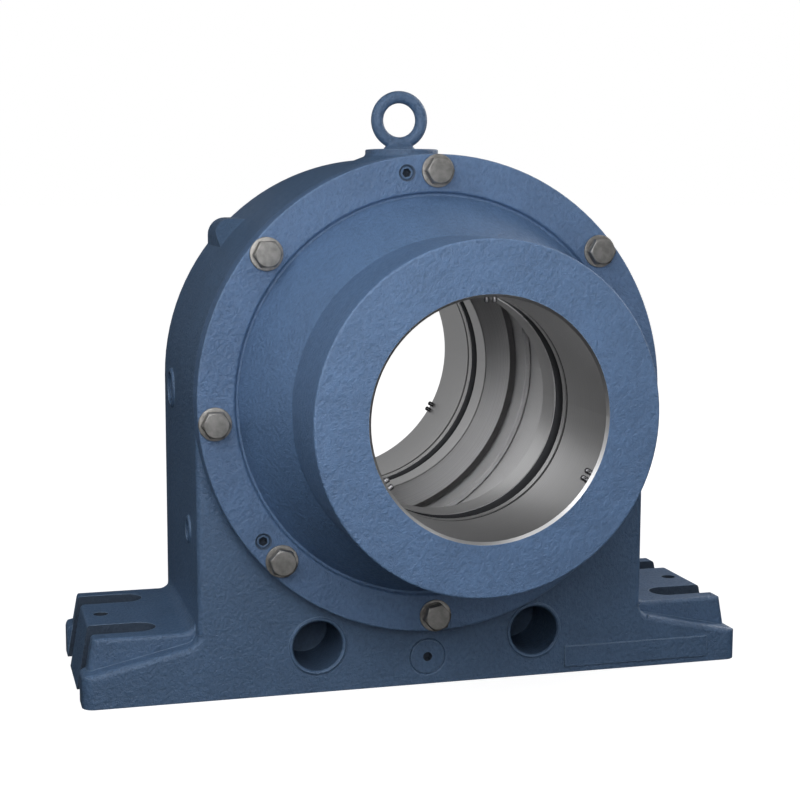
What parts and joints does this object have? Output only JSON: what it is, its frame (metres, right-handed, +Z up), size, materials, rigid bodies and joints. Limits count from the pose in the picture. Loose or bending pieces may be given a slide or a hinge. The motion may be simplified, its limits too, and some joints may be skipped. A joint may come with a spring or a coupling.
{
  "type": "bearing housing",
  "caption": "One-piece cast pillow block housing with a round top, slotted feet, bolted covers with long hubs and seal grooves, and a lifting eye.",
  "frame": {"origin": "middle of the underside of the base", "axes": "+X along the base, +Y along the shaft axis towards the rear cover, so the front cover faces -Y, +Z up"},
  "size_m": [0.86, 0.769, 0.746],
  "materials": {
    "body_paint": "satin steel-blue enamel over as-cast iron",
    "cover_paint": "satin steel-blue enamel over cast iron, with machined bores and faces left bright",
    "bolt_steel": "plain forged bolt steel, dull and slightly warm",
    "washer_steel": "stamped plain steel",
    "painted_screws": "socket screws painted over with the housing",
    "rubber_rings": "moulded black nitrile rubber",
    "set_screw_steel": "blackened socket set screws with worn edges",
    "eye_paint": "forged eye painted with the housing"
  },
  "bodies": {
    "root": {"housing_body": "body_paint", "front_cover": "cover_paint", "rear_cover": "cover_paint", "front_cover_bolts": "bolt_steel", "front_cover_washers": "washer_steel", "rear_cover_bolts": "bolt_steel", "rear_cover_washers": "washer_steel", "front_jacking_screws": "painted_screws", "rear_jacking_screws": "painted_screws", "front_flange_ring": "rubber_rings", "rear_flange_ring": "rubber_rings", "front_bore_ring": "rubber_rings", "rear_bore_ring": "rubber_rings", "front_mouth_screws": "set_screw_steel", "rear_mouth_screws": "set_screw_steel", "eyebolt": "eye_paint", "front_base_plug": "body_paint", "rear_base_plug": "body_paint", "left_upper_plug": "body_paint", "left_lower_plug": "body_paint", "right_upper_plug": "body_paint", "right_lower_plug": "body_paint"}
  },
  "joints": []
}
